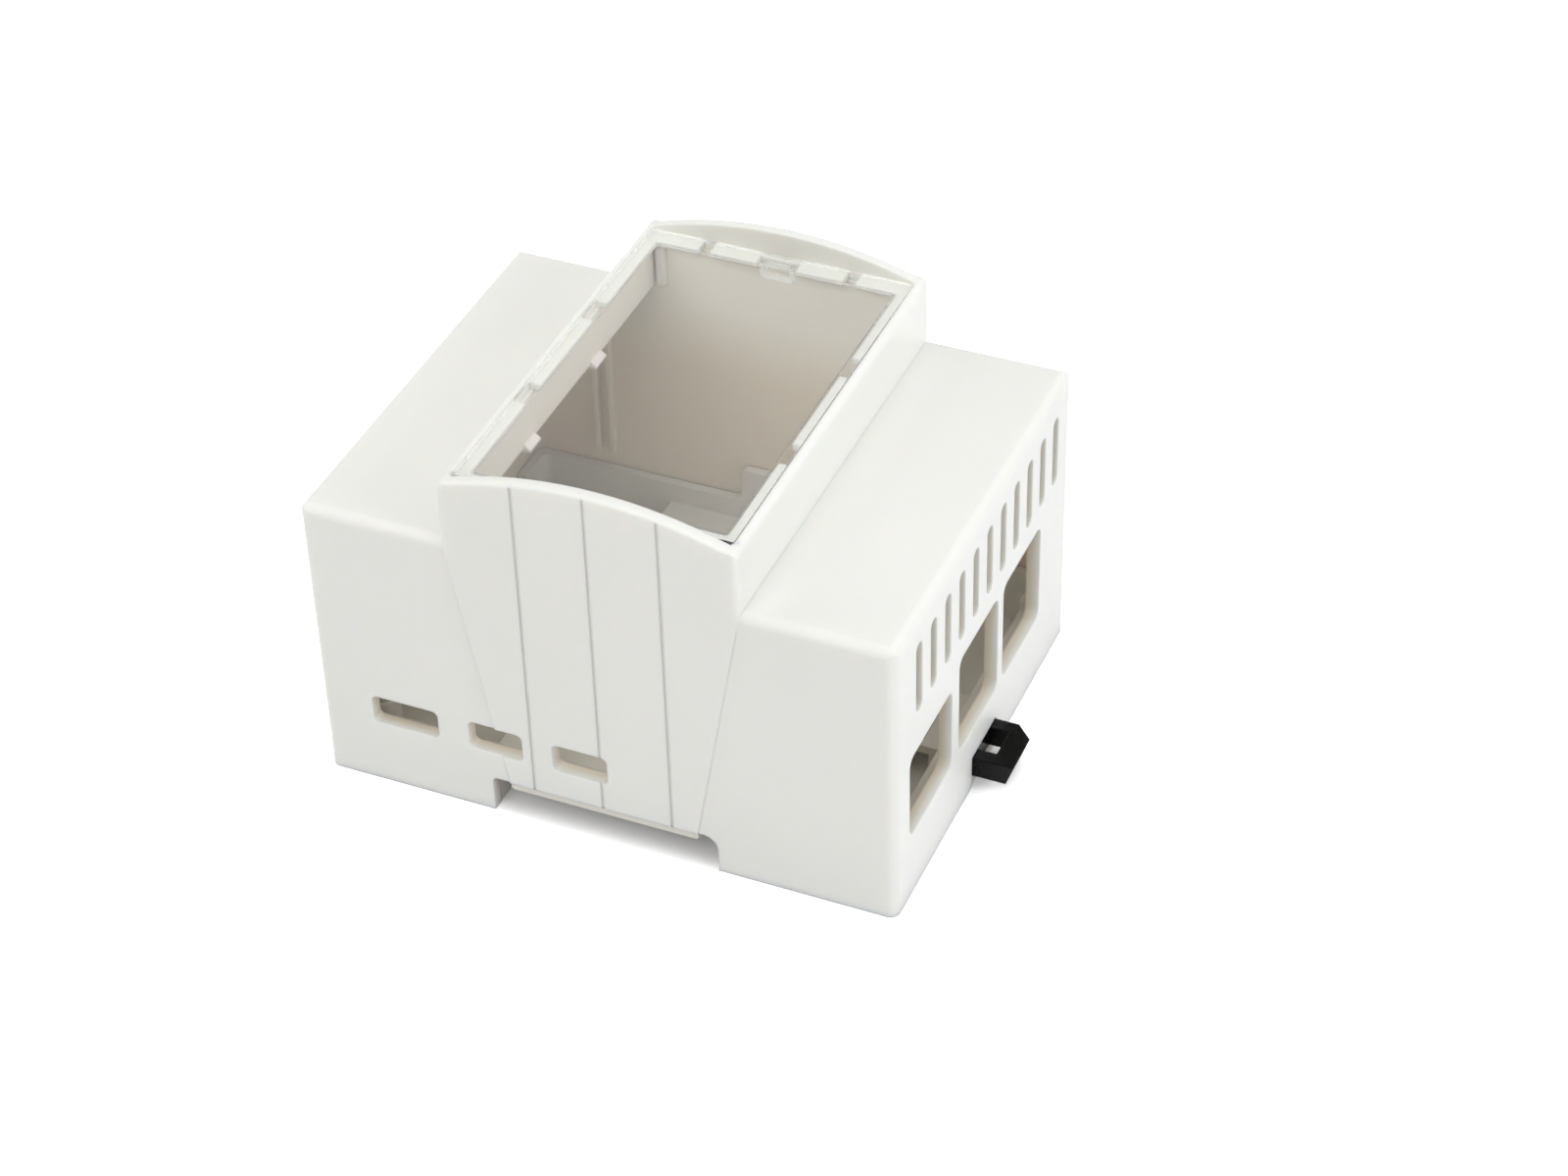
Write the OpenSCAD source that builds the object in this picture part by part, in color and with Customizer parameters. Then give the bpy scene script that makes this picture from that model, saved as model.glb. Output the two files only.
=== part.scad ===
// Rail-mounted enclosure for a small single-board computer: a moulded cover with a
// raised, arch-ended nose, a base that straddles the rail, a clear hinged lid, a sliding
// rail clip and two board screws. Sizes are in mm. X runs along the wide front, Y from
// the front to the back, Z upwards. Heights in the values below are counted from the
// feet; every module is then set down so that Z = 0 is the face that rests on the rail.

/* [Body] */
// Width over the cover's side walls
body_w = 90; // [90:0.5:130]
// Depth over the cover's end walls, without the raised panels
body_d = 70; // [66:0.5:100]
// Height of the two shoulders above the feet
shoulder_h = 48.3; // [42:0.1:70]
// Thickness of the cover's main walls
wall = 2.1; // [1.6:0.1:2.6]
// Radius of the cover's upright corners
corner_r = 1.5; // [0.4:0.1:2]
// Radius of the shoulders' outer edges
edge_r = 1.5; // [0.4:0.1:2]

/* [Nose] */
// Width of the raised middle where it leaves the shoulders
nose_w = 45; // [42:0.5:60]
// Narrowing of the nose from its foot to its rim, over both sides
nose_draft = 0.4; // [0:0.1:1]
// Rise of the nose's straight rims above the shoulders
nose_rise = 10.3; // [8:0.1:16]
// Rise of the arched end walls above the rims
arch_rise = 3.5; // [1:0.1:6]
// Thickness of the nose's side walls
nose_wall = 2.0; // [1.6:0.1:2.6]
// Radius of the nose's upright corners
nose_r = 1.0; // [0.4:0.1:1.5]
// Radius of the rims' outer edges
rim_r = 1.1; // [0.5:0.1:1.1]
// Radius of the arches' crown edges
crown_r = 0.5; // [0.2:0.1:0.8]

/* [Panels and grooves] */
// How far the tapering end panels stand proud of the shoulders
panel_proud = 0.25; // [0.1:0.05:0.6]
// Half width of an end panel at the rail recess
panel_foot = 14.8; // [10:0.1:17]
// Spacing of the three upright grooves
groove_pitch = 10.85; // [6:0.05:12]
// Width of a groove
groove_w = 0.4; // [0.3:0.05:1]
// Depth of a groove
groove_deep = 0.3; // [0.2:0.05:0.8]
// Distance of a groove's upper end below the arch's top
groove_drop = 0.5; // [0.4:0.1:4]

/* [Vents] */
// Number of slots in each side wall
vent_count = 11; // [3:1:11]
// Spacing of the slots
vent_pitch = 5.49; // [4:0.01:5.5]
// Width of a slot
vent_w = 2.3; // [1.2:0.1:3]
// Length of a slot
vent_len = 11.8; // [6:0.1:13]
// Height of the slots' lower ends above the feet
vent_z = 32; // [30:0.1:33]
// Shift of the row from the middle of the wall, towards the back
vent_shift = 1.0; // [-1:0.1:1]

/* [Board] */
// Length of the circuit board that the enclosure takes
board_l = 85; // [60:0.5:85]
// Width of that board
board_w = 56; // [54:0.5:56]
// Gap between the board's left edge and the left wall
board_side_gap = 0.4; // [0.2:0.1:0.6]
// Gap between the board's front edge and the front wall
board_front_gap = 0.9; // [0.5:0.1:1.5]
// Height of the board's underside above the feet
board_z = 10.4; // [10:0.1:12]
// Distance of the mounting holes from the board's edges
hole_inset = 3.5; // [3:0.1:5]
// Spacing of the mounting holes along the front
hole_span_x = 58; // [50:0.5:60]
// Spacing of the mounting holes from front to back
hole_span_y = 49; // [40:0.5:49]

/* [Ports] */
// Width of the power socket's slot
power_w = 10.7; // [8:0.1:12]
// Width of the two display sockets' slots
display_w = 8.7; // [7:0.1:10]
// Height of the three front slots
port_h = 4.9; // [3:0.1:6]
// Height of the front slots' lower edges above the board's underside
port_lift = 0.6; // [0.4:0.1:1.5]
// Corner radius of the front slots
port_r = 1.0; // [0.3:0.1:1.4]
// Width of the network socket's opening
network_w = 16.4; // [14:0.1:17]
// Height of the network socket's opening
network_h = 14.3; // [12:0.1:16]
// Width of the two double sockets' openings
double_w = 15.8; // [13:0.1:16.5]
// Height of the two double sockets' openings
double_h = 17.2; // [12:0.1:17.5]
// Height of the side openings' lower edges above the board's underside
socket_lift = 0.7; // [0.4:0.1:1.5]
// Corner radius of the side openings
socket_r = 1.7; // [0.5:0.1:3]
// Width of the memory card's slot
card_w = 14; // [12:0.5:16]
// Height of the memory card's slot
card_h = 2.6; // [2:0.1:3]

/* [Lid] */
// Thickness of the clear lid
lid_t = 1.4; // [1.2:0.1:2]
// Gap between the lid and the rims beside it
lid_side_gap = 0.2; // [0.15:0.05:0.4]
// Gap between the lid and the end walls
lid_end_gap = 0.3; // [0.25:0.05:0.5]
// Thickness of the rims beside the lid
rim_t = 1.2; // [1.1:0.1:1.4]
// Thickness of the arched end walls
arch_t = 1.85; // [1.5:0.05:2.4]
// Width of the ledge under the lid's long edges
ledge_side = 1.8; // [1.2:0.05:4]
// Width of the ledge under the lid's short edges
ledge_end = 2.5; // [2:0.1:4]
// Thickness of the ledge
ledge_t = 1.2; // [1:0.1:2]
// Radius of the hinge pins
pin_r = 0.5; // [0.4:0.05:0.5]
// Radial clearance of the pins in their sockets
pin_clear = 0.06; // [0.03:0.01:0.1]
// Reach of the pins beyond the lid's edges
pin_len = 0.65; // [0.5:0.05:0.7]
// Width of the latch loop
latch_w = 5.5; // [4:0.1:8]
// Drop of the latch loop below the lid
latch_drop = 3.0; // [2.6:0.1:4]

/* [Rail] */
// Width of the recess that takes the rail
recess_w = 35.6; // [35.1:0.1:36]
// Height of the recess above the feet
recess_h = 6.2; // [5.8:0.1:7]
// Height of the face that rests on the rail above the feet
seat_h = 5.0; // [4.6:0.1:5.2]
// Thickness of the rail's flange
rail_t = 1.0; // [0.8:0.1:1.5]
// Width of the lip between the rail's flanges
lip_w = 29.6; // [20:0.1:30]
// Overlap of the hooks behind the rail's flange
hook_grip = 1.6; // [1:0.1:2.2]
// Clearance of the hooks under the flange
hook_clear = 0.1; // [0.05:0.05:0.3]

/* [Base] */
// Thickness of the base's floor
floor_t = 1.8; // [1.4:0.1:1.8]
// Thickness of the base's walls
base_wall = 1.4; // [1:0.1:1.8]
// Clearance between the base and the cover
base_clear = 0.2; // [0.1:0.05:0.3]
// Height of the base's walls beside the board
low_wall_h = 9.6; // [9:0.1:10]
// Height of the base's walls behind the board
high_wall_h = 11.5; // [11:0.1:14]
// Width of the snap tongue in the back wall
tongue_w = 14; // [8:0.5:18]
// Height of the snap tongue
tongue_h = 17.5; // [16.5:0.1:20]
// Outer diameter of the board's pillars
pillar_d = 5.6; // [5:0.1:6.4]
// Radius of the pilot holes for the board screws
pilot_r = 1.2; // [1.1:0.05:1.3]
// Radius of the locating pegs
peg_r = 1.25; // [1:0.05:1.3]
// Height of the locating pegs above the pillars
peg_h = 2.0; // [1.5:0.1:3]

/* [Rail clip] */
// Width of the clip
clip_w = 9.5; // [8:0.1:11]
// Thickness of the clip
clip_t = 3.4; // [3:0.1:3.4]
// Play of the clip in its guides, on each side
clip_clear = 0.3; // [0.2:0.05:0.4]
// Reach of the clip's tab beyond the cover
tab_reach = 6.3; // [5:0.1:12]
// Way that the clip can be pulled out
clip_travel = 4; // [3:0.5:4]
// Thickness of the clip's two spring arms
arm_t = 1.1; // [0.8:0.1:1.3]

/* [Board screws] */
// Outer diameter of the screws' thread
thread_d = 2.9; // [2.6:0.1:3]
// Pitch of the thread
thread_pitch = 1.1; // [0.8:0.1:1.3]
// Length of a screw below its head
screw_len = 6.7; // [6:0.1:7.4]
// Diameter of a screw's head
head_d = 4.3; // [4:0.1:5]
// Height of a screw's head
head_h = 1.7; // [1.4:0.1:2]

/* [Hidden] */
$fn = 48;
eps = 0.02;
// The cover's inside faces
half_w = body_w / 2;
half_d = body_d / 2;
inner_x = half_w - wall;
inner_y = half_d - wall;
face_y = half_d + panel_proud;
// The nose from its foot to its rim
rim_w = nose_w - nose_draft;
rim_h = shoulder_h + nose_rise;
nose_inner_x = nose_w / 2 - nose_wall;
// Where the nose's inside is relieved towards the shoulders, so that the wall stays even
relief_h = shoulder_h;
relief_x = nose_w / 2 + 0.3;
// The lid's rebate and window
rebate_x = rim_w / 2 - rim_t;
rebate_y = face_y - arch_t;
window_x = rebate_x - ledge_side;
window_y = rebate_y - ledge_end;
ledge_h = rim_h - lid_t;
lid_x = rebate_x - lid_side_gap;
lid_y = rebate_y - lid_end_gap;
pin_y = -lid_y + lid_t / 2;
pin_z = rim_h - lid_t / 2;
// Notches in the ledge, and the catches that they let the mould form
side_notch_y = body_d * 11 / 70;
side_notch_w = 4.8;
catch_w = 3.4;
catch_deep = 1.0;
end_notch_x = 11.6;
end_notch_w = 2;
latch_notch_w = latch_w + 0.8;
// Arch radius from its width and its rise
arch_half = rebate_x;
arch_r = (arch_half * arch_half + arch_rise * arch_rise) / (2 * arch_rise);
crown_h = rim_h + arch_rise;
// Board corner, and where its sockets lie from that corner
board_x0 = -inner_x + board_side_gap;
board_y0 = -inner_y + board_front_gap;
power_at = 11.2;
display_at = [25.8, 39.2];
network_at = 10.25;
double_at = [29.1, 47];
card_at = board_w / 2;
pillar_x = [board_x0 + hole_inset, board_x0 + hole_inset + hole_span_x];
pillar_y = [board_y0 + hole_inset, board_y0 + hole_inset + hole_span_y];
// Upright guides for a second board
guide_edge = 14.55;
guide_x = half_w - guide_edge;
guide_gap = 1.7;
guide_t = 0.85;
guide_deep = 1.2;
guide_z = 14.4;
// Base
base_x = inner_x - base_clear;
base_y = inner_y - base_clear;
channel_x = recess_w / 2;
channel_t = 1.5;
roof_z = recess_h - 0.1;
roof_t = 1.9;
step_y = board_y0 + board_w + 0.8;
snap_x = 24;
snap_len = 8;
snap_r = 0.5;
snap_clear = 0.1;
snap_z = 7.6;
tongue_snap_z = 15.4;
hook_z = seat_h - rail_t - hook_clear;
hook_len = 8;
hook_y = body_d * 20 / 70;
// Clip
clip_z = floor_t + 0.2;
clip_half = clip_w / 2;
guide_half = clip_half + clip_clear;
rail_guide_t = 1.5;
strap_z = clip_z + clip_t + 0.2;
strap_t = 1.4;
strap_off = 7;
strap_x = channel_x + strap_off;
strap_w = 4;
shoulder_x = channel_x + 0.4;
arm_root_x = shoulder_x + 4;
arm_end_off = 10.5;
arm_end_x = half_w - arm_end_off;
barb_len = 2;
barb_deep = 1.3;
barb_gap = 0.3;
arm_gap = 1.0;

// Sets a piece down so that the rail's seat is at Z = 0
module on_rail() {
  translate([0, 0, -seat_h]) children();
}

// A piece and its mirror image on the other side of the middle
module both_sides() {
  for (side = [0, 1]) mirror([side, 0, 0]) children();
}

// A piece and its mirror image at the other end
module both_ends() {
  for (side = [0, 1]) mirror([0, side, 0]) children();
}

// Rectangle with four round corners, centred
module round_rect(w, h, r) {
  square([w - 2 * r, h], center = true);
  square([w, h - 2 * r], center = true);
  for (x = [-1, 1], y = [-1, 1])
    translate([x * (w / 2 - r), y * (h / 2 - r)]) circle(r);
}

// Upright rectangle on the ground line with its two upper corners rounded
module round_top(w, h, r) {
  translate([-w / 2, 0]) square([w, h - r]);
  translate([-w / 2 + r, 0]) square([w - 2 * r, h]);
  for (x = [-1, 1]) translate([x * (w / 2 - r), h - r]) circle(r);
}

// Slot with half-round ends, upright, standing on the ground line
module upright_slot(w, h) {
  translate([-w / 2, w / 2]) square([w, h - w]);
  translate([0, w / 2]) circle(w / 2);
  translate([0, h - w / 2]) circle(w / 2);
}

// Runs a front-view section through the whole depth given, about the middle
module along_depth(len) {
  translate([0, len / 2, 0]) rotate([90, 0, 0]) linear_extrude(len) children();
}

// Runs a side-view section from x0 to x1, the section drawn as depth and height
module along_width(x0, x1) {
  translate([x0, 0, 0]) rotate([90, 0, 90]) linear_extrude(x1 - x0) children();
}

// The arch's height above the feet at a distance from the middle
function arch_at(x) = crown_h - arch_r + sqrt(arch_r * arch_r - x * x);

module shoulders() {
  intersection() {
    linear_extrude(shoulder_h) round_rect(body_w, body_d, corner_r);
    along_depth(body_d) round_top(body_w, shoulder_h, edge_r);
    along_width(-half_w, half_w) round_top(body_d, shoulder_h, edge_r);
  }
}

// Section of the nose: drafted sides under rounded rims
module nose_section() {
  foot = nose_w / 2;
  top = rim_w / 2;
  low = shoulder_h - 0.2;
  polygon([[-foot, low], [foot, low], [foot, shoulder_h], [top, rim_h - rim_r],
           [-top, rim_h - rim_r], [-foot, shoulder_h]]);
  translate([0, low]) round_top(rim_w, rim_h - low, rim_r);
}

// Tapering panel on both end walls, from the nose down to the rail recess
module end_panel_section() {
  polygon([[-panel_foot, recess_h], [panel_foot, recess_h], [nose_w / 2, shoulder_h],
           [-nose_w / 2, shoulder_h]]);
}

// The two arched end walls, cut from one drum with rounded rims
module arches() {
  intersection() {
    translate([0, 0, crown_h - arch_r]) rotate([90, 0, 0]) rotate_extrude($fn = 360)
      difference() {
        intersection() {
          round_rect(2 * arch_r, 2 * face_y, crown_r);
          translate([0, -face_y]) square([arch_r, 2 * face_y]);
        }
        translate([-1, -rebate_y]) square([arch_r + 2, 2 * rebate_y]);
      }
    translate([-arch_half, -face_y, rim_h - 4]) cube([2 * arch_half, 2 * face_y, arch_rise + 4]);
  }
}

module cover_outside() {
  shoulders();
  intersection() {
    union() {
      along_depth(2 * face_y) nose_section();
      along_depth(2 * face_y) end_panel_section();
      arches();
    }
    linear_extrude(crown_h + 1) round_rect(nose_w, 2 * face_y, nose_r);
  }
}

// The room inside: the main chamber, the nose above it and the lid's window and rebate
module cover_inside() {
  translate([0, 0, -1]) linear_extrude(shoulder_h - wall + 1)
    round_rect(2 * inner_x, 2 * inner_y, corner_r);
  along_depth(2 * inner_y)
    polygon([[-relief_x, shoulder_h - wall - eps], [-nose_inner_x, relief_h],
             [-nose_inner_x, ledge_h - ledge_t], [nose_inner_x, ledge_h - ledge_t],
             [nose_inner_x, relief_h], [relief_x, shoulder_h - wall - eps]]);
  translate([0, 0, ledge_h - ledge_t - 1]) linear_extrude(lid_t + ledge_t + 2)
    round_rect(2 * window_x, 2 * window_y, 0.6);
  translate([0, 0, ledge_h]) linear_extrude(arch_rise + lid_t + 1)
    round_rect(2 * rebate_x, 2 * rebate_y, 0.8);
}

// Notches through the ledge: two on each long side, two at each end, one for the latch
module ledge_notches() {
  low = ledge_h - ledge_t;
  both_sides() both_ends() {
    translate([window_x - 1, side_notch_y - side_notch_w / 2, low])
      cube([ledge_side + 1, side_notch_w, ledge_t + 1]);
    translate([end_notch_x - end_notch_w / 2, window_y - 1, low])
      cube([end_notch_w, ledge_end + 1, ledge_t + 1]);
  }
  translate([-latch_notch_w / 2, window_y - 1, low - 1])
    cube([latch_notch_w, inner_y - window_y + 1, ledge_t + 2]);
}

// Catches under the side notches
module side_catches() {
  both_sides() both_ends() translate([0, side_notch_y, 0]) along_depth(catch_w)
    polygon([[nose_inner_x + 0.1, relief_h + 0.7], [nose_inner_x - catch_deep, relief_h - 0.2],
             [nose_inner_x - catch_deep, relief_h - 0.5], [nose_inner_x + 1.5, relief_h - 1]]);
}

// Short posts that brace the ledge in the nose's corners
module ledge_posts() {
  post_w = 1.3;
  post_gap = 0.45;
  post_deep = 1.2;
  both_sides() both_ends()
    translate([nose_inner_x - post_w - post_gap, inner_y - post_deep, relief_h])
      cube([post_w, post_deep + 0.1, ledge_h - ledge_t - relief_h + 0.1]);
}

// Upright guides on both end walls, each pair a groove for a second board
module board_guides() {
  both_sides() both_ends() for (side = [-1, 1])
    translate([guide_x + side * (guide_gap + guide_t) / 2 - guide_t / 2,
               inner_y - guide_deep, guide_z])
      cube([guide_t, guide_deep + 0.1, shoulder_h - wall - guide_z + 0.1]);
}

module vents() {
  for (i = [0 : vent_count - 1])
    translate([0, vent_shift + (i - (vent_count - 1) / 2) * vent_pitch, vent_z])
      along_width(-half_w - 1, half_w + 1) upright_slot(vent_w, vent_len);
}

// One slot through the front wall, placed by its middle from the board's corner
module front_port(at, w) {
  translate([board_x0 + at, -face_y + wall, board_z + port_lift + port_h / 2])
    along_depth(2 * wall + 2) round_rect(w, port_h, port_r);
}

// One opening through the right wall, placed by its middle from the board's corner
module side_port(at, w, h) {
  translate([0, board_y0 + at, board_z + socket_lift + h / 2])
    along_width(half_w - wall - 1, half_w + 1) round_rect(w, h, socket_r);
}

module port_openings() {
  front_port(power_at, power_w);
  for (at = display_at) front_port(at, display_w);
  side_port(network_at, network_w, network_h);
  for (at = double_at) side_port(at, double_w, double_h);
  translate([0, board_y0 + card_at, board_z - card_h / 2])
    along_width(-half_w - 1, -half_w + wall + 1) round_rect(card_w, card_h, 0.8);
}

// Section of the rail recess in the end walls, its right corner rounder than its left
module recess_section() {
  left_r = 0.8;
  right_r = 2.3;
  translate([-channel_x, -1]) square([2 * channel_x, recess_h + 1 - right_r]);
  translate([-channel_x, -1]) square([right_r * 2, recess_h + 1 - left_r]);
  translate([-channel_x + left_r, -1])
    square([2 * channel_x - left_r - right_r, recess_h + 1]);
  translate([-channel_x + left_r, recess_h - left_r]) circle(left_r);
  translate([channel_x - right_r, recess_h - right_r]) circle(right_r);
}

module grooves() {
  for (i = [-1 : 1]) {
    x = i * groove_pitch;
    top = arch_at(x) - groove_drop;
    both_ends() translate([x - groove_w / 2, face_y - groove_deep, recess_h - 1])
      cube([groove_w, groove_deep + 1, top - recess_h + 1]);
  }
}

// Round ridges on the base, and the same lines cut wider into the cover
module snap_lines(r) {
  both_sides() both_ends() translate([snap_x, base_y + 0.05, snap_z])
    rotate([0, 90, 0]) cylinder(h = snap_len + 2 * (r - snap_r), r = r, center = true);
  translate([0, base_y + 0.05, tongue_snap_z])
    rotate([0, 90, 0]) cylinder(h = snap_len + 2 * (r - snap_r), r = r, center = true);
}

// Sockets for the lid's hinge pins, blind in the rims
module pin_sockets() {
  both_sides() translate([lid_x, pin_y, pin_z]) rotate([0, 90, 0])
    cylinder(h = pin_len + 0.05, r = pin_r + pin_clear);
}

// Catch on the back wall for the lid's latch loop
module latch_catch() {
  along_width(-latch_w / 2 + 1.1, latch_w / 2 - 1.1)
    polygon([[inner_y + 0.1, ledge_h - 0.9], [inner_y - 0.35, ledge_h - 1.2],
             [inner_y - 0.35, ledge_h - 1.9], [inner_y + 0.1, ledge_h - 2.1]]);
}

module cover() on_rail() color([0.87, 0.87, 0.85]) {
  difference() {
    cover_outside();
    cover_inside();
    ledge_notches();
    vents();
    port_openings();
    along_depth(2 * face_y + 2) recess_section();
    grooves();
    snap_lines(snap_r + snap_clear);
    pin_sockets();
    translate([half_w - wall - 1, -guide_half, -1])
      cube([wall + 2, 2 * guide_half, strap_z + 1]);
  }
  side_catches();
  ledge_posts();
  board_guides();
  latch_catch();
}

// Floor, walls and the higher wall behind the board
module base_tray() {
  linear_extrude(floor_t) round_rect(2 * base_x, 2 * base_y, corner_r);
  linear_extrude(low_wall_h) tray_wall_section();
  intersection() {
    linear_extrude(high_wall_h) tray_wall_section();
    translate([-base_x, step_y, 0]) cube([2 * base_x, base_y, high_wall_h]);
  }
}

module tray_wall_section() {
  difference() {
    round_rect(2 * base_x, 2 * base_y, corner_r);
    round_rect(2 * (base_x - base_wall), 2 * (base_y - base_wall), corner_r);
  }
}

// Raised tongue in the back wall, with round roots
module snap_tongue() {
  root_r = 2;
  translate([0, base_y - base_wall / 2, 0]) along_depth(base_wall) {
    round_top_tongue();
    for (side = [-1, 1]) difference() {
      translate([side * (tongue_w / 2 + root_r / 2), high_wall_h + root_r / 2 - eps])
        square(root_r, center = true);
      translate([side * (tongue_w / 2 + root_r), high_wall_h + root_r]) circle(root_r);
    }
  }
}

module round_top_tongue() {
  translate([0, floor_t - 1]) round_top(tongue_w, tongue_h - floor_t + 1, 1);
}

// Tunnel over the rail: two legs and a roof
module rail_tunnel() {
  translate([-channel_x - channel_t, -base_y, 0])
    cube([2 * (channel_x + channel_t), 2 * base_y, roof_z + roof_t]);
}

module rail_space() {
  translate([-channel_x, -half_d - 1, -1]) cube([2 * channel_x, body_d + 2, roof_z + 1]);
}

// Lips that rest on the rail's flanges: one at each end and one in the middle
module rail_lips() {
  lip_h = roof_z - seat_h;
  end_len = 4.1;
  both_ends() translate([0, half_d - end_len / 2, seat_h + lip_h / 2])
    along_depth(end_len) round_rect(lip_w, lip_h, lip_h / 2 - 0.01);
  for (y = [-base_y + 1, 0, base_y - 1])
    translate([-lip_w / 2 + 1, y - 1, seat_h]) cube([lip_w - 2, 2, lip_h + 0.5]);
}

// Fixed hooks that hold the rail's left flange
module fixed_hooks() {
  both_ends() translate([0, hook_y, 0]) along_depth(hook_len)
    polygon([[-channel_x - 0.2, 1], [-channel_x + 0.4, 1], [-channel_x + hook_grip, hook_z - 1.2],
             [-channel_x + hook_grip, hook_z], [-channel_x - 0.2, hook_z]]);
}

// Walls that guide the clip, their windows for its barbs, and a strap that holds it down
module clip_guides() {
  x0 = channel_x + channel_t - 0.2;
  len = base_x - base_wall - x0 + 0.2;
  both_ends() difference() {
    translate([x0, guide_half, 0]) cube([len, rail_guide_t, strap_z + strap_t]);
    translate([arm_end_x - barb_len - barb_gap, guide_half - 1, clip_z - 0.2])
      cube([barb_len + 2 * barb_gap + clip_travel, rail_guide_t + 2, clip_t + 0.4]);
  }
  for (x = [strap_x, base_x - base_wall - strap_w + 0.2])
    translate([x, -guide_half - 0.2, strap_z]) cube([strap_w, 2 * guide_half + 0.4, strap_t]);
}

// The clip's way out through the tunnel's leg and the base's right wall
module clip_passage() {
  translate([channel_x - 1, -guide_half, floor_t])
    cube([channel_t + 2, 2 * guide_half, strap_z - floor_t]);
  translate([base_x - base_wall - 1, -guide_half, floor_t])
    cube([base_wall + 2, 2 * guide_half, strap_z - floor_t]);
}

module pillars() {
  for (x = pillar_x, y = pillar_y) translate([x, y, floor_t - 1])
    cylinder(h = board_z - floor_t + 1, d = pillar_d);
}

// Pegs that locate the board on its two right-hand holes
module pegs() {
  tip = 0.4;
  for (y = pillar_y) translate([pillar_x[1], y, board_z - 0.5]) rotate_extrude()
    polygon([[0, 0], [peg_r, 0], [peg_r, peg_h + 0.5 - tip], [peg_r - tip, peg_h + 0.5],
             [0, peg_h + 0.5]]);
}

module pilot_holes() {
  for (y = pillar_y) translate([pillar_x[0], y, floor_t + 0.6])
    cylinder(h = board_z, r = pilot_r);
}

module base() on_rail() color([0.80, 0.80, 0.78]) {
  difference() {
    union() {
      base_tray();
      snap_tongue();
      rail_tunnel();
      pillars();
      clip_guides();
      translate([base_x - 1, -guide_half + base_clear, 0])
        cube([wall + base_clear + 0.8, 2 * (guide_half - base_clear), floor_t]);
    }
    rail_space();
    clip_passage();
    pilot_holes();
  }
  snap_lines(snap_r);
  rail_lips();
  fixed_hooks();
  pegs();
}

// Shallow step under the lid that finds the window
module lid_step() {
  gap = 0.4;
  step_t = 0.4;
  translate([0, 0, ledge_h - step_t]) linear_extrude(step_t + 0.1)
    round_rect(2 * (window_x - gap), 2 * (window_y - gap), 0.6);
}

// Latch loop under the lid's back edge: two legs and a cross bar around a window
module latch_loop() {
  leg = 0.8;
  loop_t = 1.0;
  gap = 0.65;
  translate([0, inner_y - gap - loop_t / 2, ledge_h - latch_drop]) along_depth(loop_t)
    difference() {
      union() {
        translate([0, (latch_drop + 0.2) / 2])
          round_rect(latch_w, latch_drop + 0.2, leg);
        translate([-latch_w / 2, leg]) square([latch_w, latch_drop + 0.2 - leg]);
      }
      translate([-latch_w / 2 + leg, leg]) square([latch_w - 2 * leg, latch_drop - 2 * leg]);
    }
}

module lid() on_rail() color([0.90, 0.93, 0.93, 0.4]) {
  intersection() {
    translate([0, 0, ledge_h]) linear_extrude(lid_t) round_rect(2 * lid_x, 2 * lid_y, 0.7);
    union() {
      translate([-lid_x, pin_y, ledge_h]) cube([2 * lid_x, lid_y - pin_y, lid_t]);
      translate([-lid_x, pin_y, pin_z]) rotate([0, 90, 0])
        cylinder(h = 2 * lid_x, d = lid_t);
    }
  }
  both_sides() translate([lid_x - 0.5, pin_y, pin_z]) rotate([0, 90, 0])
    cylinder(h = pin_len + 0.5 - 0.05, r = pin_r);
  latch_loop();
  lid_step();
}

// Plan of the clip: root block, two spring arms with barbs, bar and tab
module clip_plan() {
  tab_end = half_w + tab_reach;
  neck = clip_half - arm_t - arm_gap;
  chamfer = 2.6;
  arm_tip = arm_end_x;
  body_start = arm_tip + clip_travel + 1;
  translate([shoulder_x, -clip_half]) square([arm_root_x - shoulder_x, clip_w]);
  translate([shoulder_x, -neck]) square([body_start - shoulder_x + 1, 2 * neck]);
  both_ends() {
    translate([arm_root_x - 1, clip_half - arm_t]) square([arm_tip - arm_root_x + 1, arm_t]);
    polygon([[arm_tip - barb_len, clip_half - 0.2], [arm_tip, clip_half - 0.2],
             [arm_tip, clip_half + barb_deep],
             [arm_tip - barb_len * 0.6, clip_half + barb_deep]]);
  }
  polygon([[body_start, -clip_half], [tab_end, -clip_half], [tab_end, clip_half - chamfer],
           [tab_end - chamfer, clip_half], [body_start, clip_half]]);
}

// Nose of the clip, sloped below so that the rail pushes it aside
module clip_nose() {
  tip = channel_x - hook_grip - 2.2;
  along_depth(clip_w)
    polygon([[tip, hook_z - 1], [tip, hook_z], [shoulder_x + 1, hook_z],
             [shoulder_x + 1, clip_z], [shoulder_x - 1.2, clip_z]]);
}

// Hole in the tab for a screwdriver
module tab_hole() {
  hole_w = 5.2;
  hole_len = 3.3;
  translate([half_w - 0.4, -hole_w / 2, clip_z - 1]) cube([hole_len, hole_w, clip_t + 2]);
}

module rail_clip() on_rail() color([0.07, 0.07, 0.07]) {
  tab_end = half_w + tab_reach;
  slant = 1.2;
  difference() {
    union() {
      translate([0, 0, clip_z]) linear_extrude(clip_t) clip_plan();
      clip_nose();
    }
    tab_hole();
    along_depth(2 * clip_w)
      polygon([[tab_end - slant, clip_z - eps], [tab_end + 1, clip_z - eps],
               [tab_end + 1, clip_z + clip_t + eps], [tab_end, clip_z + clip_t + eps]]);
  }
}

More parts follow.
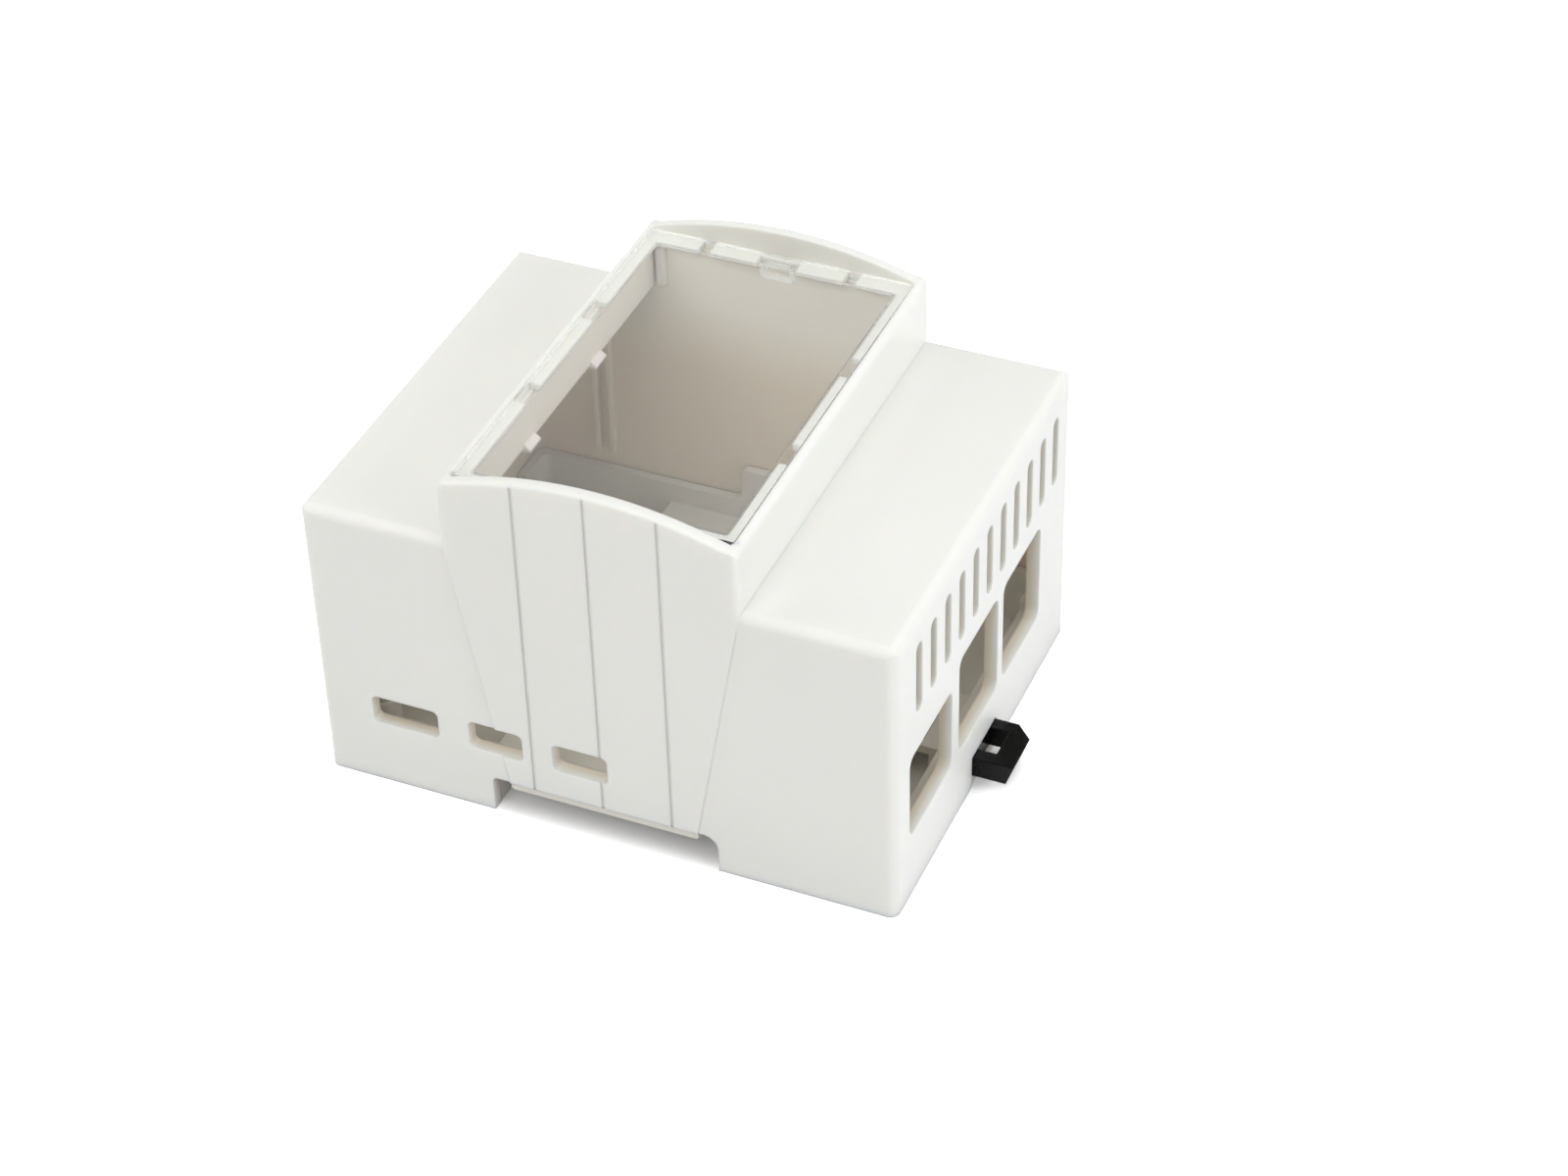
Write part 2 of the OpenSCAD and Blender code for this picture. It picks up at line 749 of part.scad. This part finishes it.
// One self-tapping pan-head screw, head up, its seat at the ground line
module board_screw() {
  core_r = thread_d / 2 - 0.45;
  thread_r = thread_d / 2;
  tip = 1.5;
  turns = floor((screw_len - tip - 0.6) / thread_pitch);
  difference() {
    rotate_extrude() {
      polygon([[0, -screw_len], [core_r, -screw_len + tip], [core_r, 0], [head_d / 2, 0],
               [head_d / 2, head_h * 0.45], [head_d / 2 - 0.25, head_h * 0.75],
               [head_d / 2 - 0.9, head_h], [0, head_h]]);
      for (i = [0 : turns - 1])
        translate([0, -screw_len + tip + (i + 0.5) * thread_pitch])
          polygon([[0, -0.4], [core_r, -0.35], [thread_r, -0.06], [thread_r, 0.06],
                   [core_r, 0.35], [0, 0.4]]);
    }
    for (turn = [0, 90]) rotate(turn) translate([-1.25, -0.38, head_h - 1])
      cube([2.5, 0.76, 2]);
  }
}

module board_screws() on_rail() color([0.75, 0.75, 0.74]) {
  for (y = pillar_y) translate([pillar_x[0], y, board_z]) board_screw();
}

cover();
base();
lid();
rail_clip();
board_screws();
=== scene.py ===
import math

import bmesh
import bpy
import numpy as np
from mathutils import Matrix, Vector


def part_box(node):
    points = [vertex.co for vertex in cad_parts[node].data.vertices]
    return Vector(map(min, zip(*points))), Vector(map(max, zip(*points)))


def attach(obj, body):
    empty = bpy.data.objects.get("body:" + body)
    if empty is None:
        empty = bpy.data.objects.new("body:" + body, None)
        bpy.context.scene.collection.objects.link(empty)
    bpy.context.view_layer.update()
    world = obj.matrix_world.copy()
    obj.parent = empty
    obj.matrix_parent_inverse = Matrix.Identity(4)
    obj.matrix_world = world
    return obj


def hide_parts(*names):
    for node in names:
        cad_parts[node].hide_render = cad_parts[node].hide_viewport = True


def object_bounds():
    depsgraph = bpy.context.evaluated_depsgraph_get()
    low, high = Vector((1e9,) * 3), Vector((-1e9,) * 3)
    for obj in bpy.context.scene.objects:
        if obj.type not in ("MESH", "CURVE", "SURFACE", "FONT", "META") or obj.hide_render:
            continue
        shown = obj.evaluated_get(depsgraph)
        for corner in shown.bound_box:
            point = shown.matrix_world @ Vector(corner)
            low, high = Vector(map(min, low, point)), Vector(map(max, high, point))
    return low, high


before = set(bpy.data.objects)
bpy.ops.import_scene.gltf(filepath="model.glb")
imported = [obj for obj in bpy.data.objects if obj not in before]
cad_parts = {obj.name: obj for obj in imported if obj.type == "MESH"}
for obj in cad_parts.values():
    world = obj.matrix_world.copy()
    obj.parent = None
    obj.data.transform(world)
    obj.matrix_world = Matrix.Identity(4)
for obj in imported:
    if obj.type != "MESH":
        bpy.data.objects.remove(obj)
cadLow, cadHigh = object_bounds()
print("frame loaded:", ", ".join(sorted(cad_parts)))

white = (1.0, 1.0, 1.0)


def startMaterial(name):
    mat = bpy.data.materials.new(name)
    mat.use_nodes = True
    tree = mat.node_tree
    tree.nodes.clear()
    return mat, tree, tree.nodes.new("ShaderNodeOutputMaterial")


def addNode(tree, kind, **settings):
    node = tree.nodes.new(kind)
    for key, value in settings.items():
        setattr(node, key, value)
    return node


def objectCoords(tree):
    return addNode(tree, "ShaderNodeTexCoord").outputs["Object"]


# A plain number is set on its socket, anything else is a link.
def addMath(tree, operation, first, second):
    node = addNode(tree, "ShaderNodeMath", operation=operation)
    for socket, value in zip(node.inputs, (first, second)):
        if isinstance(value, (int, float)):
            socket.default_value = value
        else:
            tree.links.new(value, socket)
    return node.outputs[0]


def addNoise(tree, coords, scale, detail=3.0, roughness=0.55):
    noise = addNode(tree, "ShaderNodeTexNoise")
    noise.inputs["Scale"].default_value = scale
    noise.inputs["Detail"].default_value = detail
    noise.inputs["Roughness"].default_value = roughness
    tree.links.new(coords, noise.inputs["Vector"])
    return noise.outputs["Fac"]


# Noise keeps mostly between 0.3 and 0.7, so those are the usual ends of what comes in.
def remap(tree, value, low, high, inLow=0.3, inHigh=0.7):
    ramp = addNode(tree, "ShaderNodeMapRange")
    ends = {"From Min": inLow, "From Max": inHigh, "To Min": low, "To Max": high}
    for name, number in ends.items():
        ramp.inputs[name].default_value = number
    tree.links.new(value, ramp.inputs["Value"])
    return ramp.outputs["Result"]


# A plain colour is a triple, anything else is a link.
def mixColours(tree, factor, first, second):
    mix = addNode(tree, "ShaderNodeMix", data_type="RGBA")
    for socket, colour in ((mix.inputs[6], first), (mix.inputs[7], second)):  # colours A and B
        if isinstance(colour, tuple):
            socket.default_value = (*colour, 1)
        else:
            tree.links.new(colour, socket)
    tree.links.new(factor, mix.inputs[0])
    return mix.outputs[2]   # the mixed colour


def mixShaders(tree, factor, first, second):
    mix = addNode(tree, "ShaderNodeMixShader")
    for value, socket in zip((factor, first, second), mix.inputs):
        tree.links.new(value, socket)
    return mix.outputs[0]


# Bump from a height, on top of another normal where one is given.
def addBump(tree, height, strength, depth, normal=None):
    bump = addNode(tree, "ShaderNodeBump")
    bump.inputs["Strength"].default_value = strength
    bump.inputs["Distance"].default_value = depth
    tree.links.new(height, bump.inputs["Height"])
    if normal is not None:
        tree.links.new(normal, bump.inputs["Normal"])
    return bump.outputs["Normal"]


# How far a point lies inside the upright sides of a box about the object's origin, in
# metres: the smaller of (half size - |coordinate|) along X and along Y.
def sideDepth(tree, axes, halfWidth, halfDepth):
    acrossX = addMath(tree, "SUBTRACT", halfWidth, addMath(tree, "ABSOLUTE", axes[0], 0))
    acrossY = addMath(tree, "SUBTRACT", halfDepth, addMath(tree, "ABSOLUTE", axes[1], 0))
    return addMath(tree, "MINIMUM", acrossX, acrossY)


def splitAxes(tree, coords):
    parts = addNode(tree, "ShaderNodeSeparateXYZ")
    tree.links.new(coords, parts.inputs[0])
    return parts.outputs


# 1 inside a room, 0 outside: the mask of the room's painted shade and painted warm bounce light.
#                             The change runs from one step outside each side to one step inside
#                             it, and from one topStep above the top to one topStep below it.
def paintedRoomMask(tree, coords, room):
    axes = splitAxes(tree, coords)
    step = room["step"]
    below = addMath(tree, "SUBTRACT", room["top"], axes[2])
    below = addMath(tree, "MULTIPLY", below, step / room["topStep"])
    deep = sideDepth(tree, axes, room["halfWidth"], room["halfDepth"])
    return remap(tree, addMath(tree, "MINIMUM", deep, below), 0, 1, -step, step)


# What all the moulded plastics share, unless a finish says otherwise.
mouldSkin = {
    "softDetail": 2.0,                # detail of the clouds and of the sheen
    "sheenScale": 0.2,                # scale of the sheen's noise, over the grain's
    "grainRoughness": 0.6,
    "grainStrength": 0.25,
    "grainDepth": 0.00002,
    "edgeSamples": 8,
    "ior": 1.48,
    "specular": 0.5,
    "bleed": 0.0,                     # share of the light that wanders through the plastic
    "bleedReach": 0.001,
    "bleedTints": (1.0, 0.85, 0.65),  # red wanders furthest
}


# Moulded plastic: two close shades in soft clouds, a fine spark-eroded grain as bump, and edges
# that the bevel node rounds by the mould's small radius. Inside each of the rooms the colour is
# painted warmer, and in the main room darker as well: painted warm bounce light and painted
# shade.
def mouldedPlastic(name, finish):
    spec = {**mouldSkin, **finish}
    mat, tree, out = startMaterial(name)
    coords = objectCoords(tree)
    shader = addNode(tree, "ShaderNodeBsdfPrincipled")
    clouds = addNoise(tree, coords, spec["cloudScale"], spec["softDetail"])
    colour = mixColours(tree, remap(tree, clouds, 0, 1), spec["shade"], spec["tone"])
    # painted shade and painted warm bounce light over each room
    for room in spec.get("paintedShadeAndBounceRooms", ()):
        colour = mixColours(tree, paintedRoomMask(tree, coords, room), colour, room["tone"])
    tree.links.new(colour, shader.inputs["Base Color"])
    sheen = addNoise(tree, coords, spec["grainScale"] * spec["sheenScale"], spec["softDetail"])
    rough = remap(tree, sheen, spec["roughLow"], spec["roughHigh"])
    tree.links.new(rough, shader.inputs["Roughness"])
    edge = addNode(tree, "ShaderNodeBevel", samples=spec["edgeSamples"])
    edge.inputs["Radius"].default_value = spec["edgeRadius"]
    grain = addNoise(tree, coords, spec["grainScale"], roughness=spec["grainRoughness"])
    normal = addBump(tree, grain, spec["grainStrength"], spec["grainDepth"],
                     edge.outputs["Normal"])
    tree.links.new(normal, shader.inputs["Normal"])
    shader.inputs["IOR"].default_value = spec["ior"]
    shader.inputs["Specular IOR Level"].default_value = spec["specular"]
    shader.inputs["Subsurface Weight"].default_value = spec["bleed"]
    shader.inputs["Subsurface Scale"].default_value = spec["bleedReach"]
    shader.inputs["Subsurface Radius"].default_value = spec["bleedTints"]
    tree.links.new(shader.outputs["BSDF"], out.inputs["Surface"])
    return mat


def dress(node, mat):
    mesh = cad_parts[node].data
    mesh.materials.clear()
    mesh.materials.append(mat)
    print(node, "dressed")


coverFinish = {
    "tone": (0.820, 0.822, 0.785),    # pale warm grey
    "shade": (0.800, 0.802, 0.762),
    "paintedShadeAndBounceRooms": (
        # the nose's room, under the lid: painted warm bounce light
        {"halfWidth": 0.0208, "halfDepth": 0.0333, "top": 0.0508,
         "step": 0.0004, "topStep": 0.0004, "tone": (0.835, 0.812, 0.750)},
        # the main room: painted shade and painted warm bounce light, darker and warmer, coming in
        # slowly around its top
        {"halfWidth": 0.0439, "halfDepth": 0.0339, "top": 0.0350,
         "step": 0.0005, "topStep": 0.0060, "tone": (0.775, 0.705, 0.590)},
    ),
    "cloudScale": 22.0,               # clouds per metre
    "grainScale": 3200.0,             # about 0.3 mm grain
    "roughLow": 0.40,
    "roughHigh": 0.50,
    "edgeRadius": 0.0004,
    "bleed": 0.65,
    "bleedReach": 0.0018,
}
dress("cover", mouldedPlastic("coverAbs", coverFinish))

baseFinish = {
    "tone": (0.710, 0.685, 0.625),
    "shade": (0.680, 0.655, 0.595),
    "cloudScale": 26.0,
    "grainScale": 3000.0,
    "roughLow": 0.42,
    "roughHigh": 0.54,
    "edgeRadius": 0.0002,
}
dress("base", mouldedPlastic("baseAbs", baseFinish))

clipFinish = {
    "tone": (0.004, 0.004, 0.004),
    "shade": (0.007, 0.007, 0.007),
    "cloudScale": 60.0,
    "grainScale": 2500.0,
    "grainStrength": 0.15,
    "roughLow": 0.20,
    "roughHigh": 0.30,
    "edgeRadius": 0.0003,
    "specular": 0.12,
}
dress("rail_clip", mouldedPlastic("clipAcetal", clipFinish))

lidFinish = {
    "plate": 0.0014,                  # thickness of the solid's plate
    "airFilm": 0.00005,
    "weldGap": 0.000001,              # points closer than this become one
    "flatAngle": 0.5,                 # degrees: faces that turn less than this are joined
    "onFace": 0.00001,                # a point this close to a face lies on it
    "smallest": 0.000000001,          # keeps a division clear of nought
    "edgeRadius": 0.00012,
    "edgeSegments": 2,
    "edgeAngle": 40,                  # degrees: edges that turn more than this are rounded
    "edgeSlope": 0.3,                 # a face stands up when its normal's Z is below this
    "tint": (0.985, 0.992, 0.988),
    "tintScale": 40.0,
    "clearness": 1.0,
    "roughness": 0.01,
    "hazeScale": 150.0,
    "hazeLow": 0.6,                   # the roughness drifts between these shares of itself
    "hazeHigh": 1.6,
    "ior": 1.52,
    "waveScale": 60.0,                # slow ripple left by the mould
    "waveDetail": 1.0,
    "waveStrength": 0.15,
    "waveDepth": 0.000004,
    "passTint": (0.99, 0.99, 0.98),   # light that goes straight through to the inside
}


# Clear polycarbonate: refracts what the eye sees, and lets the lamps' light pass straight
# through, so that the inside is lit as it is under a real lid.
def clearPlastic(name, spec):
    mat, tree, out = startMaterial(name)
    coords = objectCoords(tree)
    shader = addNode(tree, "ShaderNodeBsdfPrincipled")
    shader.inputs["Transmission Weight"].default_value = spec["clearness"]
    shader.inputs["IOR"].default_value = spec["ior"]
    patches = remap(tree, addNoise(tree, coords, spec["tintScale"]), 0, 1)
    tree.links.new(mixColours(tree, patches, spec["tint"], white), shader.inputs["Base Color"])
    haze = remap(tree, addNoise(tree, coords, spec["hazeScale"]),
                 spec["roughness"] * spec["hazeLow"], spec["roughness"] * spec["hazeHigh"])
    tree.links.new(haze, shader.inputs["Roughness"])
    waves = addNoise(tree, coords, spec["waveScale"], spec["waveDetail"])
    normal = addBump(tree, waves, spec["waveStrength"], spec["waveDepth"])
    tree.links.new(normal, shader.inputs["Normal"])
    clear = addNode(tree, "ShaderNodeBsdfTransparent")
    clear.inputs["Color"].default_value = (*spec["passTint"], 1)
    rays = addNode(tree, "ShaderNodeLightPath").outputs
    passing = addMath(tree, "MAXIMUM", rays["Is Shadow Ray"], rays["Is Diffuse Ray"])
    mixed = mixShaders(tree, passing, shader.outputs["BSDF"], clear.outputs["BSDF"])
    tree.links.new(mixed, out.inputs["Surface"])
    return mat


def weldedCopy(source, name, spec):
    build = bmesh.new()
    build.from_mesh(source)
    bmesh.ops.remove_doubles(build, verts=build.verts, dist=spec["weldGap"])
    bmesh.ops.dissolve_limit(build, angle_limit=math.radians(spec["flatAngle"]),
                             verts=build.verts, edges=build.edges)
    mesh = bpy.data.meshes.new(name)
    build.to_mesh(mesh)
    build.free()
    return mesh


# Lifts the lid's underside by the thin film of air between it and the ledge, which would
# otherwise share a plane. The round front edge shrinks to meet it.
def liftUnderside(mesh, spec):
    points = np.empty(len(mesh.vertices) * 3, dtype=np.float32)
    mesh.vertices.foreach_get("co", points)
    points = points.reshape(-1, 3)
    low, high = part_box("lid")
    half = spec["plate"] / 2
    axisY, axisZ = low.y + half, high.z - half          # the hinge line
    deltaY, deltaZ = points[:, 1] - axisY, points[:, 2] - axisZ
    radius = np.maximum(np.hypot(deltaY, deltaZ), spec["smallest"])
    front = (deltaY < spec["weldGap"]) & (np.abs(radius - half) < spec["onFace"])
    # Round front edge: r -> r - film * (1 - sin(angle above the hinge line)), sin never below 0
    keep = 1 - spec["airFilm"] * (1 - np.maximum(deltaZ / radius, 0)) / radius
    under = (np.abs(deltaZ + half) < spec["onFace"]) & ~front
    points[under, 2] += spec["airFilm"]                 # underside: z -> z + film
    points[front, 1] = axisY + (deltaY * keep)[front]
    points[front, 2] = axisZ + (deltaZ * keep)[front]
    mesh.vertices.foreach_set("co", points.ravel())


# Gives the faces that stand up the mesh's second material.
def markUpright(mesh, spec):
    normals = np.empty(len(mesh.polygons) * 3, dtype=np.float32)
    mesh.polygons.foreach_get("normal", normals)
    upright = np.abs(normals.reshape(-1, 3)[:, 2]) < spec["edgeSlope"]
    mesh.polygons.foreach_set("material_index", upright.astype(np.int32))


def roundEdges(piece, spec):
    rounding = piece.modifiers.new("edges", "BEVEL")
    rounding.width = spec["edgeRadius"]
    rounding.segments = spec["edgeSegments"]
    rounding.limit_method = "ANGLE"
    rounding.angle_limit = math.radians(spec["edgeAngle"])


# The lid as it is seen: the solid's own surface over its film of air, with round edges.
def makeLid(spec, mat, edgeMat):
    mesh = weldedCopy(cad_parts["lid"].data, "clearLid", spec)
    liftUnderside(mesh, spec)
    mesh.materials.append(mat)
    mesh.materials.append(edgeMat)
    markUpright(mesh, spec)
    lid = bpy.data.objects.new("clearLid", mesh)
    bpy.context.collection.objects.link(lid)
    roundEdges(lid, spec)
    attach(lid, "lid")
    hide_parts("lid")
    print("lid made")


# The mould leaves the lid's narrow edges faintly frosted, so they catch the light.
lidEdgeFinish = dict(lidFinish, clearness=0.45, roughness=0.25, tint=(0.93, 0.94, 0.935))
lidPlastic = clearPlastic("lidPolycarbonate", lidFinish)
dress("lid", lidPlastic)
makeLid(lidFinish, lidPlastic, clearPlastic("lidEdge", lidEdgeFinish))

screwFinish = {
    "tone": (0.78, 0.77, 0.74),
    "shade": (0.66, 0.65, 0.62),
    "roughLow": 0.16,
    "roughHigh": 0.30,
    "patchScale": 2600.0,
    "bumpStrength": 0.2,
    "bumpDepth": 0.00001,
}


# Nickel plate: bright metal whose tone, roughness and height drift in small patches.
def platedSteel(name, spec):
    mat, tree, out = startMaterial(name)
    shader = addNode(tree, "ShaderNodeBsdfPrincipled")
    shader.inputs["Metallic"].default_value = 1.0
    patches = addNoise(tree, objectCoords(tree), spec["patchScale"])
    colour = mixColours(tree, remap(tree, patches, 0, 1), spec["shade"], spec["tone"])
    tree.links.new(colour, shader.inputs["Base Color"])
    rough = remap(tree, patches, spec["roughLow"], spec["roughHigh"])
    tree.links.new(rough, shader.inputs["Roughness"])
    normal = addBump(tree, patches, spec["bumpStrength"], spec["bumpDepth"])
    tree.links.new(normal, shader.inputs["Normal"])
    tree.links.new(shader.outputs["BSDF"], out.inputs["Surface"])
    return mat


dress("board_screws", platedSteel("screwNickel", screwFinish))

studio = {
    "floorSize": 1.7,
    "floorBounce": 0.62,      # what the floor gives back to the object
    "floorMirror": 1.60,      # the floor in the plastic's gloss
    "floorShow": 1.9,         # the floor's own grey to the camera, above 1 to show as white
    "paintedFloorShadow": 0.5327,     # painted shadow: share of the floor's colour left under the object
    "shadeStart": 0.004,      # that painted shadow begins this far outside its outline
    "shadeFull": 0.00025,     # and is full this far inside it
    "shadeInset": 0.003,      # its outline's half depth is this much less than the object's
    "shadeWide": 1.25,        # its outline's half width, over the object's half depth
    "skyLight": 0.31,         # what the sky gives to the object
    "skyMirror": 0.95,        # the sky in the plastic's gloss
    "skyShow": 1.0,           # the sky as the camera sees it
    "lampSide": 0.9,          # every lamp is a square of this side
}


# One grey level for the light that falls on the object, one for its image in the plastic's
# gloss, and one for what the camera sees, also through the clear lid.
def switchByRay(tree, kind, spec, keys, out):
    rays = addNode(tree, "ShaderNodeLightPath").outputs
    seen = addMath(tree, "MAXIMUM", rays["Is Camera Ray"], rays["Is Transmission Ray"])
    levels = {key: addNode(tree, kind) for key in keys}
    for key, node in levels.items():
        node.inputs["Color"].default_value = (*[spec[key]] * 3, 1)
    plain, mirrored, shown = (node.outputs[0] for node in levels.values())
    shader = mixShaders(tree, rays["Is Glossy Ray"], plain, mirrored)
    tree.links.new(mixShaders(tree, seen, shader, shown), out.inputs["Surface"])
    return levels


def makeFloor(spec, height):
    half = spec["floorSize"] / 2
    corners = [(-half, -half, height), (half, -half, height),
               (half, half, height), (-half, half, height)]
    mesh = bpy.data.meshes.new("studioFloor")
    mesh.from_pydata(corners, [], [(0, 1, 2, 3)])
    floor = bpy.data.objects.new("studioFloor", mesh)
    bpy.context.collection.objects.link(floor)
    mat, tree, out = startMaterial("studioPaper")
    # painted shadow on the paper under the object, multiplied into all three of its greys
    deep = sideDepth(tree, splitAxes(tree, objectCoords(tree)),
                     cadHigh.y * spec["shadeWide"], cadHigh.y - spec["shadeInset"])
    shade = remap(tree, deep, 1, spec["paintedFloorShadow"], -spec["shadeStart"], spec["shadeFull"])
    keys = ("floorBounce", "floorMirror", "floorShow")
    for key, node in switchByRay(tree, "ShaderNodeBsdfDiffuse", spec, keys, out).items():
        tree.links.new(addMath(tree, "MULTIPLY", shade, spec[key]), node.inputs["Color"])
    mesh.materials.append(mat)


def makeSky(spec):
    world = bpy.data.worlds.new("studioSky")
    bpy.context.scene.world = world
    world.use_nodes = True
    tree = world.node_tree
    tree.nodes.clear()
    out = tree.nodes.new("ShaderNodeOutputWorld")
    switchByRay(tree, "ShaderNodeBackground", spec, ("skyLight", "skyMirror", "skyShow"), out)


def makeLamp(name, spec, side, aim):
    data = bpy.data.lights.new(name, "AREA")
    data.shape = "SQUARE"
    data.size = side
    data.energy = spec["watts"]
    data.color = spec.get("tint", white)
    lamp = bpy.data.objects.new(name, data)
    lamp.location = Vector(spec["place"])
    lamp.rotation_euler = (lamp.location - aim).to_track_quat("Z", "Y").to_euler()
    bpy.context.collection.objects.link(lamp)


lamps = {
    "sideLamp": {"place": (1.20, -0.10, 0.35), "watts": 7.4, "tint": (0.935, 0.950, 1.0)},
    "frontLamp": {"place": (-0.10, -1.00, 0.75), "watts": 6.3},
    "topLamp": {"place": (0.05, 0.10, 1.25), "watts": 4.1},
    "backLamp": {"place": (0.60, 0.90, 0.75), "watts": 3.2},
    "leftLamp": {"place": (-1.00, 0.00, 0.75), "watts": 4.0},
}

view = {
    "azimuth": 23.880,        # degrees, as are the next two
    "elevation": 38.678,
    "roll": -1.548,
    "distance": 0.5281,
    "aim": (0.01236, 0.00283, 0.01690),
    "lens": 82.56,            # mm, on the sensor below
    "sensor": 36.0,
    "nearest": 0.01,
    "farthest": 20.0,
}


# The camera stands back from its aim along the azimuth and elevation, then rolls.
def makeCamera(spec):
    az, el, roll = (math.radians(spec[key]) for key in ("azimuth", "elevation", "roll"))
    back = Vector((math.sin(az) * math.cos(el), -math.cos(az) * math.cos(el), math.sin(el)))
    level = Vector((0, 0, 1)).cross(back).normalized()
    upright = back.cross(level)
    right = level * math.cos(roll) + upright * math.sin(roll)
    up = upright * math.cos(roll) - level * math.sin(roll)
    data = bpy.data.cameras.new("studioCamera")
    data.lens = spec["lens"]
    data.sensor_width = spec["sensor"]
    data.clip_start, data.clip_end = spec["nearest"], spec["farthest"]
    camera = bpy.data.objects.new("studioCamera", data)
    turn = Matrix((right, up, back)).transposed().to_4x4()
    camera.matrix_world = Matrix.Translation(Vector(spec["aim"]) + back * spec["distance"]) @ turn
    bpy.context.collection.objects.link(camera)
    bpy.context.scene.camera = camera


makeFloor(studio, cadLow.z)
makeSky(studio)
for lampName, lampSpec in lamps.items():
    makeLamp(lampName, lampSpec, studio["lampSide"], (cadLow + cadHigh) / 2)
makeCamera(view)
bpy.context.scene.view_settings.view_transform = "Standard"
print("studio set")
